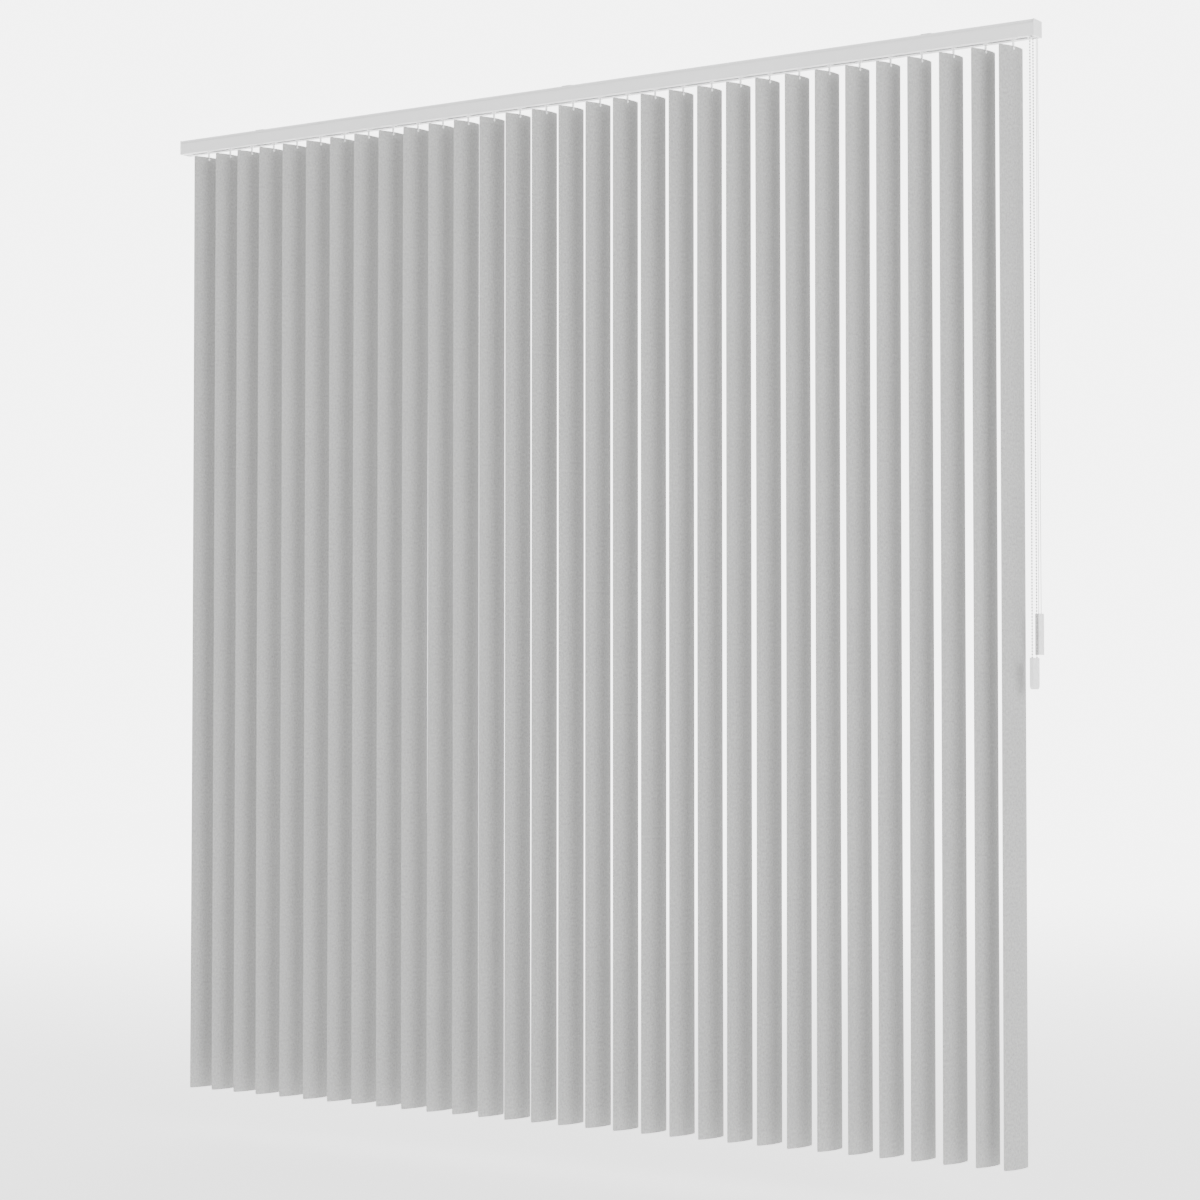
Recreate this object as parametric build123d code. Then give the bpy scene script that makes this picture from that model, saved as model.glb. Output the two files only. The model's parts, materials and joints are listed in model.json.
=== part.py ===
from build123d import *
import os
from math import sqrt

os.makedirs("parts", exist_ok=True)

# Vertical blind: a ceiling-hung headrail whose carriers each hold one curved vane on a turning stem.
# Millimetres. X runs along the rail, from the idle end to the control end. Y points away from the
# room, to the window, and Z up. The origin is the centre of the middle ceiling clip's top face.

# Vanes and where their carriers stand
vane_count = 31
vane_pitch = 85.0
idle_gap = 80.6
idle_gap_count = 3
control_gap = 72.3
vane_chord = 88.0
vane_radius = 125.0
vane_thickness = 0.8
vane_length = 2650.0
vane_corner = 3.0
vane_angle = 75.7

# Headrail section
rail_width = 44.0
rail_height = 31.0
rail_wall = 1.3
rail_slot = 12.0
rail_edge = 1.0
rib_height = 8.0
rib_inset = 2.5
lip_width = 3.8
ceiling_gap = 3.0
idle_margin = 87.0

# Carrier trucks
truck_length = 18.0
truck_base_length = 14.0
truck_side_gap = 3.3
truck_top_half_width = 7.4
truck_base_height = 9.4
truck_height = 20.4
truck_lift = 0.8
truck_boss_radius = 5.2
truck_boss_depth = 2.3
wheel_radius = 4.5
wheel_width = 3.2
wheel_axle_radius = 1.5
wheel_cap_radius = 2.3
wheel_cap_width = 0.6
wheel_edge = 0.4
ear_length = 3.0
ear_height = 8.0
ear_margin = 2.5
link_width = 8.0
link_thickness = 0.5
link_peg_radius = 0.8
link_end_gap = 1.0
link_end_wall = 0.7
bridge_bar = 1.0
bridge_length = 2.4
bridge_leg = 1.3

# Tilt drive
rod_y = -9.0
rod_rise = 13.9
rod_core_radius = 1.9
rod_lobe_radius = 0.7
rod_lobe_offset = 1.7
worm_radius = 3.4
worm_length = 11.2
worm_mesh_gap = 0.2
rod_end_gap = 0.5
stem_wheel_rise = 11.1
stem_wheel_height = 5.8
stem_radius = 2.5
stem_neck_radius = 1.65
stem_head_radius = 2.2
stem_head_height = 1.0

# Hook that holds a vane
stem_drop = 14.0
fork_depth = 2.2
fork_half_width = 2.6
fork_block_height = 4.5
fork_gap = 2.0
prong_half_width = 1.25
prong_gap = 0.55
prong_drop = 10.0
nib_drop = 6.5
nib_radius = 3.0
nib_height = 0.5
peg_radius = 1.6
peg_hole_radius = 1.8
dot_radius = 1.1
dot_rise = 4.3

# Bead chain and its wheel
bead_radius = 2.25
chain_wheel_radius = 8.5
chain_wheel_flange = 1.2
chain_wheel_width = 7.2
groove_clearance = 0.2
chain_room_side = 0.8
chain_room_gap = 0.85
chain_weight_width = 34.0
chain_weight_height = 74.0
chain_weight_thickness = 9.6
chain_weight_top = -1508.0
chain_weight_y = -8.0
chain_turn_radius = 13.0
chain_turn_height = 24.0
weight_corner = 10.0
weight_edge = 2.0
swing_gap = 1.0
chain_lane_gap = 0.35

# Traverse cord, its pulleys and its weight
cord_radius = 0.9
cord_wall_gap = 4.2
cord_spacing = 7.0
cord_rise = 19.9
pulley_pitch_radius = 5.0
pulley_flange = 1.2
pulley_width = 3.2
pulley_axle_radius = 1.5
pulley_room = 0.4
cord_mouth_gap = 1.6
control_axle_front = 2.1
control_axle_rear = 1.5
idle_axle_top = 2.5
idle_pulley_offset = 14.0
cord_lead = 4.0
cord_weight_width = 28.0
cord_weight_height = 97.0
cord_weight_thickness = 10.4
cord_weight_top = -1404.0
cord_weight_offset = 1.2
cord_weight_front = 3.5
chain_channel_gap = 0.15
chain_channel_depth = 5.0
weight_pulley_radius = 7.0
weight_pulley_drop = 16.0
weight_pulley_inset = 11.5
axle_cover = 1.2

# End caps
cap_plate = 3.0
cap_proud = 0.5
cap_corner = 2.0
cap_edge = 1.0
housing_inner = 13.0
housing_outer = 10.0
idle_housing_length = 22.0
housing_clearance = 0.3
bearing_depth = 4.0

# Ceiling clips
clip_spacing = 1050.0
clip_count = 3
clip_length = 28.0
clip_sheet = 1.2
clip_plate_front = 13.0
clip_plate_rear = 12.0
clip_screw_y = -6.0
clip_screw_radius = 2.3
lever_pivot_y = 5.0
lever_arm_width = 9.0
lever_handle_width = 7.0
lever_handle_length = 24.0
lever_boss_radius = 3.6
lever_lift = 0.4
pin_radius = 1.8
pin_head_radius = 3.0
pin_head_height = 1.0

# Clearances
running = 0.1
bearing = 0.05
loose = 0.3
cord_joint = 0.05
arc_ease = 0.05
cut_over = 1.0
strip_spare = 5.0

# Levels, from the ceiling down
rail_top = -ceiling_gap
body_top = rail_top - rib_height
rail_bottom = body_top - rail_height
inner_top = body_top - rail_wall
inner_floor = rail_bottom + rail_wall
inner_half = rail_width / 2 - rail_wall
truck_floor = inner_floor + truck_lift
truck_top = truck_floor + truck_height
rod_z = truck_floor + rod_rise
cord_z = truck_floor + cord_rise
rib_outer = rail_width / 2 - rib_inset
lip_inner = rib_outer - lip_width
vane_top = rail_bottom - stem_drop
vane_bottom = vane_top - vane_length
nib_z = vane_top - nib_drop
fork_low = vane_top + fork_gap
fork_top = fork_low + fork_block_height
hook_top = rail_top - rail_wall
hook_reach = rib_outer - rail_wall - loose
lever_play = 2 * running

# Places along the rail
gaps = [idle_gap] * idle_gap_count
gaps += [vane_pitch] * (vane_count - 2 - idle_gap_count)
gaps += [control_gap]
vane_sagitta = vane_radius - sqrt(vane_radius**2 - (vane_chord / 2) ** 2)
swing_radius = sqrt((vane_chord / 2) ** 2 + vane_sagitta**2) + vane_thickness / 2
weight_half = chain_weight_thickness / 2
control_side = swing_radius + swing_gap + weight_half + housing_outer
rail_length = idle_margin + sum(gaps) + control_side
rail_end = rail_length / 2
stem_x = [idle_margin - rail_end + sum(gaps[:i]) for i in range(vane_count)]
chain_x = rail_end - housing_outer
cord_exit_x = chain_x + cord_lead
cord_weight_x = chain_x + cord_weight_offset
idle_pulley_x = idle_pulley_offset - rail_end

# Fits worked out from the above
cord_rear_y = inner_half - cord_wall_gap
cord_front_y = cord_rear_y - cord_spacing
truck_half_width = inner_half - truck_side_gap - wheel_cap_width - wheel_width - 2 * running
stem_wheel_radius = abs(rod_y) - worm_radius - worm_mesh_gap
stem_wheel_floor = truck_floor + stem_wheel_rise
stem_wheel_bottom = stem_wheel_floor + running
stem_wheel_top = stem_wheel_bottom + stem_wheel_height
link_peg_x = (stem_wheel_radius + loose + truck_length / 2) / 2
rod_radius = rod_lobe_offset + rod_lobe_radius
rod_bore = rod_radius + running
chain_front_y = rod_y - chain_wheel_radius
chain_rear_y = rod_y + chain_wheel_radius
cord_mid_y = (cord_front_y + cord_rear_y) / 2
idle_pulley_radius = (cord_rear_y - cord_front_y) / 2
groove_radius = bead_radius + groove_clearance
cord_groove = cord_radius + running
weight_pulley_y = cord_weight_front + cord_weight_width - weight_pulley_inset
weight_axle_half = cord_weight_thickness / 2 - axle_cover
chain_channel_half = bead_radius + cord_weight_offset + chain_channel_gap
weight_pulley_z = cord_weight_top - weight_pulley_drop
chain_turn_z = chain_weight_top - chain_weight_height + chain_turn_height + chain_turn_radius
chain_low_z = chain_turn_z - chain_turn_radius
cord_low_z = weight_pulley_z - weight_pulley_radius
cord_start_z = rail_bottom - cord_joint
clip_x = [clip_spacing * (i - (clip_count - 1) / 2) for i in range(clip_count)]


def block(x0, x1, y0, y1, z0, z1):
    """A box between two corners."""
    size = Box(x1 - x0, y1 - y0, z1 - z0)
    return Pos((x0 + x1) / 2, (y0 + y1) / 2, (z0 + z1) / 2) * size


def along_x(radius, x0, x1, y, z):
    """A round bar along X."""
    return Pos((x0 + x1) / 2, y, z) * Rot(0, 90, 0) * Cylinder(radius, x1 - x0)


def along_y(radius, y0, y1, x, z):
    """A round bar along Y."""
    return Pos(x, (y0 + y1) / 2, z) * Rot(90, 0, 0) * Cylinder(radius, y1 - y0)


def along_z(radius, z0, z1, x=0.0, y=0.0):
    """A round bar along Z."""
    return Pos(x, y, (z0 + z1) / 2) * Cylinder(radius, z1 - z0)


def grooved_wheel(pitch, flange, width, groove):
    """A wheel about Z whose rim has a groove with a round bottom and straight open sides."""
    wheel = Cylinder(pitch + flange, width)
    wheel -= Torus(pitch, groove)
    return wheel - (Cylinder(pitch + flange, 2 * groove) - Cylinder(pitch, 2 * groove))


def cord_pulley(pitch):
    """A pulley about Z for the traverse cord, bored for its axle."""
    wheel = grooved_wheel(pitch, pulley_flange, pulley_width, cord_groove)
    return wheel - Cylinder(pulley_axle_radius + bearing, pulley_width)


def save(node, solids):
    """Writes one node as a STEP file."""
    shape = Compound(children=solids) if isinstance(solids, list) else solids
    shape.label = node
    export_step(shape, "parts/" + node + ".step")


# Headrail


def headrail():
    half = rail_width / 2
    rail = block(-rail_end, rail_end, -half, half, rail_bottom, body_top)
    rail = fillet(rail.edges().filter_by(Axis.X), rail_edge)
    rail -= block(-rail_end, rail_end, -inner_half, inner_half, inner_floor, inner_top)
    slot = rail_slot / 2
    rail -= block(-rail_end, rail_end, -slot, slot, rail_bottom, inner_floor)
    for side in (-1, 1):
        rib = sorted((side * rib_outer, side * (rib_outer - rail_wall)))
        lip = sorted((side * rib_outer, side * lip_inner))
        rail += block(-rail_end, rail_end, rib[0], rib[1], body_top, rail_top)
        rail += block(-rail_end, rail_end, lip[0], lip[1], rail_top - rail_wall, rail_top)
    notch = chain_x - housing_inner
    rail -= block(notch, rail_end, -inner_half, inner_half, rail_bottom, inner_floor)
    return rail


# End caps


def cap_plate_solid(x0, x1):
    half = rail_width / 2 + cap_proud
    plate = block(x0, x1, -half, half, rail_bottom - cap_proud, rail_top + cap_proud)
    plate = fillet(plate.edges().filter_by(Axis.X), cap_corner)
    return plate


def control_end_cap():
    inner = inner_half - housing_clearance
    left = chain_x - housing_inner + housing_clearance
    cap = block(left, rail_end, -inner, inner, rail_bottom, inner_top - housing_clearance)
    cap += cap_plate_solid(rail_end, rail_end + cap_plate)
    outer = cap.faces().sort_by(Axis.X)[-1]
    cap = fillet(outer.edges(), cap_edge)
    side = chain_wheel_width / 2 + chain_room_side
    room = chain_wheel_radius + bead_radius + chain_room_gap
    cap -= along_x(room, chain_x - side, chain_x + side, rod_y, rod_z)
    low = rail_bottom - cut_over
    cap -= block(chain_x - side, chain_x + side, rod_y - room, rod_y + room, low, rod_z)
    cap -= along_x(rod_bore, left, chain_x + side + bearing_depth, rod_y, rod_z)
    centre_x = cord_exit_x - pulley_pitch_radius
    centre_z = cord_z - pulley_pitch_radius
    reach = pulley_pitch_radius + pulley_flange + pulley_room
    front = cord_front_y - pulley_width / 2 - loose
    rear = cord_rear_y + pulley_width / 2 + loose
    top = centre_z + reach
    cap -= block(centre_x - reach, centre_x + reach, front, rear, low, top)
    mouth = cord_z - cord_radius - cord_mouth_gap
    cap -= block(left, centre_x, front, rear, mouth, top)
    front -= control_axle_front
    rear += control_axle_rear
    return cap - along_y(pulley_axle_radius, front, rear, centre_x, centre_z)


def idle_end_cap():
    inner = inner_half - housing_clearance
    right = idle_housing_length - rail_end
    floor = inner_floor + housing_clearance
    cap = block(-rail_end, right, -inner, inner, floor, inner_top - housing_clearance)
    cap += cap_plate_solid(-rail_end - cap_plate, -rail_end)
    outer = cap.faces().sort_by(Axis.X)[0]
    cap = fillet(outer.edges(), cap_edge)
    cap -= along_x(rod_bore, right - idle_housing_length + bearing_depth, right, rod_y, rod_z)
    reach = idle_pulley_radius + pulley_flange + pulley_room
    half = pulley_width / 2 + loose
    front = cord_mid_y - reach
    rear = cord_mid_y + reach
    cap -= block(idle_pulley_x - reach, right, front, rear, cord_z - half, cord_z + half)
    low = cord_z - half - bearing_depth
    high = cord_z + half + idle_axle_top
    return cap - along_z(pulley_axle_radius, low, high, idle_pulley_x, cord_mid_y)


# Tilt drive: rod, worms and chain wheel


def rod_section(extra):
    """The rod's three-lobed section, grown by extra, drawn about the origin."""
    section = Circle(rod_core_radius + extra)
    for turn in (0, 120, 240):
        section += Rot(0, 0, turn) * Pos(rod_lobe_offset, 0) * Circle(rod_lobe_radius + extra)
    return section


def rod_bar(x0, x1, extra):
    """The rod's section carried from x0 to x1 on the rod's axis."""
    bar = extrude(rod_section(extra), x1 - x0)
    return Pos(x0, rod_y, rod_z) * Rot(0, 90, 0) * bar


def tilt_rod():
    start = bearing_depth + rod_end_gap - rail_end
    return rod_bar(start, chain_x + chain_wheel_width / 2 + bearing_depth, 0)


def worm_sleeves():
    half = worm_length / 2
    sleeve = along_x(worm_radius, -half, half, rod_y, rod_z)
    sleeve -= rod_bar(-half, half, bearing)
    return [Pos(x, 0, 0) * sleeve for x in stem_x]


def chain_wheel():
    wheel = grooved_wheel(chain_wheel_radius, chain_wheel_flange, chain_wheel_width, groove_radius)
    wheel = Pos(chain_x, rod_y, rod_z) * Rot(0, 90, 0) * wheel
    half = chain_wheel_width / 2
    return wheel - rod_bar(chain_x - half, chain_x + half, bearing)


# Carriers: truck, wheels and spacer links


def truck():
    half = truck_length / 2
    base = truck_base_length / 2
    base_top = truck_floor + truck_base_height
    body = block(-base, base, -truck_half_width, truck_half_width, truck_floor, base_top)
    body += block(-half, half, -truck_half_width, truck_top_half_width, base_top, truck_top)
    body += along_z(truck_boss_radius, truck_floor - truck_boss_depth, truck_floor)
    axle_z = inner_floor + wheel_radius
    seat = truck_half_width + wheel_width + 2 * running
    end = seat + wheel_cap_width
    body += along_y(wheel_axle_radius, -seat, seat, 0, axle_z)
    body += along_y(wheel_cap_radius, -end, -seat, 0, axle_z)
    body += along_y(wheel_cap_radius, seat, end, 0, axle_z)
    ear = ear_length / 2
    ear_z = cord_z - ear_height / 2
    body += block(-ear, ear, 0, cord_rear_y + ear_margin, ear_z, ear_z + ear_height)
    body -= along_z(stem_radius + running, truck_floor - truck_boss_depth, stem_wheel_floor)
    body -= along_z(stem_wheel_radius + loose, stem_wheel_floor, truck_top + ear_height)
    pocket = worm_length / 2 + loose
    body -= along_x(worm_radius + loose, -pocket, pocket, rod_y, rod_z)
    side = worm_radius + loose
    body -= block(-pocket, pocket, rod_y - side, rod_y + side, rod_z, truck_top)
    body -= along_x(rod_bore, -half, half, rod_y, rod_z)
    for y in (cord_front_y, cord_rear_y):
        body -= along_x(cord_radius + loose, -ear, ear, y, cord_z)
    body += along_z(link_peg_radius, truck_top, truck_top + 2 * link_thickness, link_peg_x)
    gap_top = truck_top + link_thickness + loose
    bridge_half = link_width / 2 + loose
    outer = bridge_half + bridge_leg
    start = -half
    bridge = block(start, start + bridge_length, -outer, outer, truck_top, gap_top + bridge_bar)
    bridge -= block(start, start + bridge_length, -bridge_half, bridge_half, truck_top, gap_top)
    return body + bridge


def carrier_trucks():
    one = truck()
    return [Pos(x, 0, 0) * one for x in stem_x]


def truck_wheels():
    axle_z = inner_floor + wheel_radius
    seat = truck_half_width + running
    wheel = along_y(wheel_radius, seat, seat + wheel_width, 0, axle_z)
    wheel -= along_y(wheel_axle_radius + bearing, seat, seat + wheel_width, 0, axle_z)
    wheel = fillet(wheel.edges().filter_by(GeomType.CIRCLE).sort_by(SortBy.RADIUS)[-2:], wheel_edge)
    pair = (wheel, Rot(0, 0, 180) * wheel)
    return [Pos(x, 0, 0) * one for x in stem_x for one in pair]


def spacer_links():
    half = link_width / 2
    peg_hole = link_peg_radius + running
    links = []
    for x, gap in zip(stem_x, gaps):
        start = x + link_peg_x - peg_hole - link_end_wall
        end = x + gap - link_end_gap
        link = block(start, end, -half, half, truck_top, truck_top + link_thickness)
        link -= along_z(peg_hole, truck_top, truck_top + link_thickness, x + link_peg_x)
        links.append(link)
    return links


# Vanes, each with the stem and the stem wheel that turn it


def slat():
    """A curved strip about the stem's axis: its chord lies along X and it bulges to -Y."""
    outer = vane_radius + vane_thickness / 2
    inner = vane_radius - vane_thickness / 2
    half = Pos(0, -outer / 2) * Rectangle(vane_chord + 2 * strip_spare, outer)
    ring = (Circle(outer) - Circle(inner)) & half
    strip = Pos(0, vane_radius, vane_bottom) * extrude(ring, vane_length)
    middle = (vane_top + vane_bottom) / 2
    window = RectangleRounded(vane_chord, vane_length, vane_corner)
    depth = vane_sagitta + vane_thickness + strip_spare
    keep = extrude(Plane.XZ * Pos(0, middle) * window, depth, both=True)
    strip &= keep
    return strip - along_y(peg_hole_radius, -vane_thickness, vane_thickness, 0, nib_z)


def stem():
    """The stem about the Z axis, with its fork's two prongs on either side of the slat."""
    body = along_z(stem_radius, fork_low, stem_wheel_bottom)
    head_z = stem_wheel_top + running
    body += along_z(stem_neck_radius, stem_wheel_bottom, head_z)
    body += along_z(stem_head_radius, head_z, head_z + stem_head_height)
    width = fork_half_width
    body += block(-width, width, -fork_depth, fork_depth, fork_low, fork_top)
    tip = vane_top - prong_drop
    width = prong_half_width
    body += block(-width, width, -fork_depth, -prong_gap, tip, fork_low)
    body += block(-width, width, prong_gap, fork_depth, tip, fork_low)
    body += along_y(peg_radius, -fork_depth, fork_depth, 0, nib_z)
    face = fork_depth + nib_height
    body += along_y(nib_radius, -face, -prong_gap, 0, nib_z)
    return body + along_y(dot_radius, -face, -fork_depth, 0, nib_z + dot_rise)


def stem_wheel():
    wheel = along_z(stem_wheel_radius, stem_wheel_bottom, stem_wheel_top)
    return wheel - along_z(stem_neck_radius + bearing, stem_wheel_bottom, stem_wheel_top)


def vane_solids():
    """One vane's slat, stem and stem wheel, turned to the angle at which the blind stands."""
    return [Rot(0, 0, vane_angle) * solid for solid in (slat(), stem(), stem_wheel())]


# Traverse pulleys


def control_pulley(y):
    centre_x = cord_exit_x - pulley_pitch_radius
    centre_z = cord_z - pulley_pitch_radius
    return Pos(centre_x, y, centre_z) * Rot(90, 0, 0) * cord_pulley(pulley_pitch_radius)


def idle_pulley():
    return Pos(idle_pulley_x, cord_mid_y, cord_z) * cord_pulley(idle_pulley_radius)


def weight_pulley():
    centre = Pos(cord_weight_x, weight_pulley_y, weight_pulley_z)
    return centre * Rot(0, 90, 0) * cord_pulley(weight_pulley_radius)


def pulley_axles():
    centre_x = cord_exit_x - pulley_pitch_radius
    half = pulley_width / 2 + loose
    front = cord_front_y - half - control_axle_front
    rear = cord_rear_y + half + control_axle_rear
    control = along_y(pulley_axle_radius, front, rear, centre_x, cord_z - pulley_pitch_radius)
    low = cord_z - half - bearing_depth
    high = cord_z + half + idle_axle_top
    idle = along_z(pulley_axle_radius, low, high, idle_pulley_x, cord_mid_y)
    x0 = cord_weight_x - weight_axle_half
    x1 = cord_weight_x + weight_axle_half
    weight = along_x(pulley_axle_radius, x0, x1, weight_pulley_y, weight_pulley_z)
    return [control, idle, weight]


# Chain weight and cord weight, each in two halves


def rounded_block(x0, x1, y0, y1, z0, z1):
    """A box with big round lower corners and small upper ones, seen along X."""
    body = block(x0, x1, y0, y1, z0, z1)
    edges = body.edges().filter_by(Axis.X).sort_by(Axis.Z)
    body = fillet(edges[:2], weight_corner)
    edges = body.edges().filter_by(Axis.X).sort_by(Axis.Z)
    return fillet(edges[-2:], weight_edge)


def chain_weight_halves():
    x0 = chain_x - weight_half
    x1 = chain_x + weight_half
    y0 = chain_weight_y - chain_weight_width / 2
    y1 = chain_weight_y + chain_weight_width / 2
    low = chain_weight_top - chain_weight_height
    body = rounded_block(x0, x1, y0, y1, low, chain_weight_top)
    channel_radius = bead_radius + chain_lane_gap
    turn = Pos(chain_x, chain_weight_y, chain_turn_z) * Rot(0, 90, 0)
    turn = turn * Torus(chain_turn_radius, channel_radius)
    turn &= block(x0, x1, y0, y1, low, chain_turn_z)
    body -= turn
    for side in (-1, 1):
        y = chain_weight_y + side * chain_turn_radius
        body -= along_z(channel_radius, chain_turn_z, chain_weight_top + cut_over, chain_x, y)
    left = body & block(x0, chain_x, y0, y1, low, chain_weight_top)
    right = body & block(chain_x, x1, y0, y1, low, chain_weight_top)
    return left, right


def cord_weight_halves():
    half = cord_weight_thickness / 2
    x0 = cord_weight_x - half
    x1 = cord_weight_x + half
    y0 = cord_weight_front
    y1 = cord_weight_front + cord_weight_width
    low = cord_weight_top - cord_weight_height
    body = block(x0, x1, y0, y1, low, cord_weight_top)
    body = fillet(body.edges().filter_by(Axis.X), weight_edge)
    cut0 = cord_weight_x - chain_channel_half
    cut1 = cord_weight_x + chain_channel_half
    over = cord_weight_top + cut_over
    body -= block(cut0, cut1, y0 - cut_over, y0 + chain_channel_depth, low - cut_over, over)
    room = weight_pulley_radius + pulley_flange + pulley_room
    side = pulley_width / 2 + loose
    wide0 = cord_weight_x - side
    wide1 = cord_weight_x + side
    body -= along_x(room, wide0, wide1, weight_pulley_y, weight_pulley_z)
    for way in (-1, 1):
        y = weight_pulley_y + way * weight_pulley_radius
        lane = cord_radius + loose
        body -= block(wide0, wide1, y - lane, y + lane, weight_pulley_z, over)
    axle0 = cord_weight_x - weight_axle_half
    axle1 = cord_weight_x + weight_axle_half
    body -= along_x(pulley_axle_radius, axle0, axle1, weight_pulley_y, weight_pulley_z)
    left = body & block(x0, cord_weight_x, y0, y1, low, cord_weight_top)
    right = body & block(cord_weight_x, x1, y0, y1, low, cord_weight_top)
    return left, right


# Chain and cord


def tube(name, points, radii, radius):
    """A round tube along straight runs joined by tangent arcs, one radius for each corner."""
    path = FilletPolyline(*points, radius=radii)
    print(name, "arc radii", radii, "length", round(path.length, 1))
    section = Plane(origin=path @ 0, z_dir=path % 0) * Circle(radius)
    return sweep(section, path=path)


def chain_wrap():
    high = rod_z + chain_wheel_radius
    points = [
        (chain_x, chain_front_y, rail_bottom),
        (chain_x, chain_front_y, high),
        (chain_x, chain_rear_y, high),
        (chain_x, chain_rear_y, rail_bottom),
    ]
    turn = chain_wheel_radius - arc_ease
    return tube("chain_wrap", points, [turn, turn], bead_radius)


def bead_chain():
    front = chain_weight_y - chain_turn_radius
    rear = chain_weight_y + chain_turn_radius
    points = [
        (chain_x, chain_front_y, cord_start_z),
        (chain_x, front, chain_low_z),
        (chain_x, rear, chain_low_z),
        (chain_x, chain_rear_y, cord_start_z),
    ]
    turn = chain_turn_radius - arc_ease
    return tube("bead_chain", points, [turn, turn], bead_radius)


def traverse_cord():
    far = idle_pulley_x - idle_pulley_radius
    points = [
        (cord_exit_x, cord_front_y, rail_bottom),
        (cord_exit_x, cord_front_y, cord_z),
        (far, cord_front_y, cord_z),
        (far, cord_rear_y, cord_z),
        (cord_exit_x, cord_rear_y, cord_z),
        (cord_exit_x, cord_rear_y, rail_bottom),
    ]
    bend = pulley_pitch_radius
    turn = idle_pulley_radius - arc_ease
    return tube("traverse_cord", points, [bend, turn, turn, bend], cord_radius)


def cord_loop():
    points = [
        (cord_exit_x, cord_front_y, cord_start_z),
        (cord_weight_x, weight_pulley_y - weight_pulley_radius, cord_low_z),
        (cord_weight_x, weight_pulley_y + weight_pulley_radius, cord_low_z),
        (cord_exit_x, cord_rear_y, cord_start_z),
    ]
    turn = weight_pulley_radius - arc_ease
    return tube("cord_loop", points, [turn, turn], cord_radius)


# Ceiling clips


def ceiling_clip():
    half = clip_length / 2
    plate = block(-half, half, -clip_plate_front, clip_plate_rear, -clip_sheet, 0)
    low = hook_top - clip_sheet
    web = clip_plate_front - clip_sheet
    plate += block(-half, half, -clip_plate_front, -web, low, -clip_sheet)
    plate += block(-half, half, -hook_reach, -web, low, hook_top)
    plate -= along_z(clip_screw_radius, -clip_sheet, 0, 0, clip_screw_y)
    return plate - along_z(pin_radius + bearing, -clip_sheet, 0, 0, lever_pivot_y)


def clip_lever():
    top = hook_top - lever_play
    low = top - clip_sheet
    radius = hook_reach - lever_pivot_y
    half = lever_arm_width / 2
    arm = along_z(radius, low, top) & block(-half, half, 0, radius, low, top)
    handle_top = -clip_sheet - lever_lift
    handle_low = handle_top - clip_sheet
    grip = lever_handle_width / 2
    straight = lever_handle_length - grip
    handle = block(-grip, grip, 0, straight, handle_low, handle_top)
    handle += along_z(grip, handle_low, handle_top, 0, straight)
    lever = arm + handle + along_z(lever_boss_radius, low, handle_top)
    lever -= along_z(pin_radius + bearing, low, handle_top)
    return Pos(0, lever_pivot_y, 0) * lever


def clip_pin():
    head_top = hook_top - clip_sheet - 2 * lever_play
    pin = along_z(pin_radius, head_top, -running, 0, lever_pivot_y)
    return pin + along_z(pin_head_radius, head_top - pin_head_height, head_top, 0, lever_pivot_y)


save("headrail", headrail())
save("control_end_cap", control_end_cap())
save("idle_end_cap", idle_end_cap())
save("tilt_rod", tilt_rod())
save("worm_sleeves", worm_sleeves())
save("chain_wheel", chain_wheel())
save("carrier_trucks", carrier_trucks())
save("truck_wheels", truck_wheels())
save("spacer_links", spacer_links())
save("control_pulley_front", control_pulley(cord_front_y))
save("control_pulley_rear", control_pulley(cord_rear_y))
save("idle_pulley", idle_pulley())
save("cord_weight_pulley", weight_pulley())
save("pulley_axles", pulley_axles())
save("chain_wrap", chain_wrap())
save("bead_chain", bead_chain())
save("traverse_cord", traverse_cord())
save("cord_loop", cord_loop())

chain_weight_left, chain_weight_right = chain_weight_halves()
save("chain_weight_left", chain_weight_left)
save("chain_weight_right", chain_weight_right)
cord_weight_left, cord_weight_right = cord_weight_halves()
save("cord_weight_left", cord_weight_left)
save("cord_weight_right", cord_weight_right)

clip = ceiling_clip()
lever = clip_lever()
pin = clip_pin()
for number, x in enumerate(clip_x, 1):
    save("ceiling_clip_" + str(number), Pos(x, 0, 0) * clip)
    save("clip_lever_" + str(number), Pos(x, 0, 0) * lever)
save("clip_pins", [Pos(x, 0, 0) * pin for x in clip_x])

vane = vane_solids()
for number, x in enumerate(stem_x, 1):
    save("vane_" + str(number).zfill(2), [Pos(x, 0, 0) * solid for solid in vane])
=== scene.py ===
import json
import math

import bpy
import numpy as np
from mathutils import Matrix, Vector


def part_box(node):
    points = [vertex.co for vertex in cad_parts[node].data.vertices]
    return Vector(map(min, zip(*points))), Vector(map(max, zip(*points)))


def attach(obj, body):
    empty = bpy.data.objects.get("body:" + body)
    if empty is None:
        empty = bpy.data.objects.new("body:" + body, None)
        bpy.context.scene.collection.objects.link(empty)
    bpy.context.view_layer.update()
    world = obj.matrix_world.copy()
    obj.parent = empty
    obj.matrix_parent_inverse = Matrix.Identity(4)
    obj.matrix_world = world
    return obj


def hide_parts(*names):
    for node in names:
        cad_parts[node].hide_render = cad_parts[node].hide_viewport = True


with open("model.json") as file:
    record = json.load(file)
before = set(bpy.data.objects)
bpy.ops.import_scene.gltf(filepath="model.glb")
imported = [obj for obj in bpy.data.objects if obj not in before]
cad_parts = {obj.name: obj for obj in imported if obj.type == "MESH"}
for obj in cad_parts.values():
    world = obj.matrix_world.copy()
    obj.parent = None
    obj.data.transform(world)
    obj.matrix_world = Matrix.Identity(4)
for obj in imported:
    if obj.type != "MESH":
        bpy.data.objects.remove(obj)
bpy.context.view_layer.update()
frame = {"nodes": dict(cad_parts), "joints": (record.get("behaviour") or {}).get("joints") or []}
HEADRAIL = "headrail_set"
MM = 0.001


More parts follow.
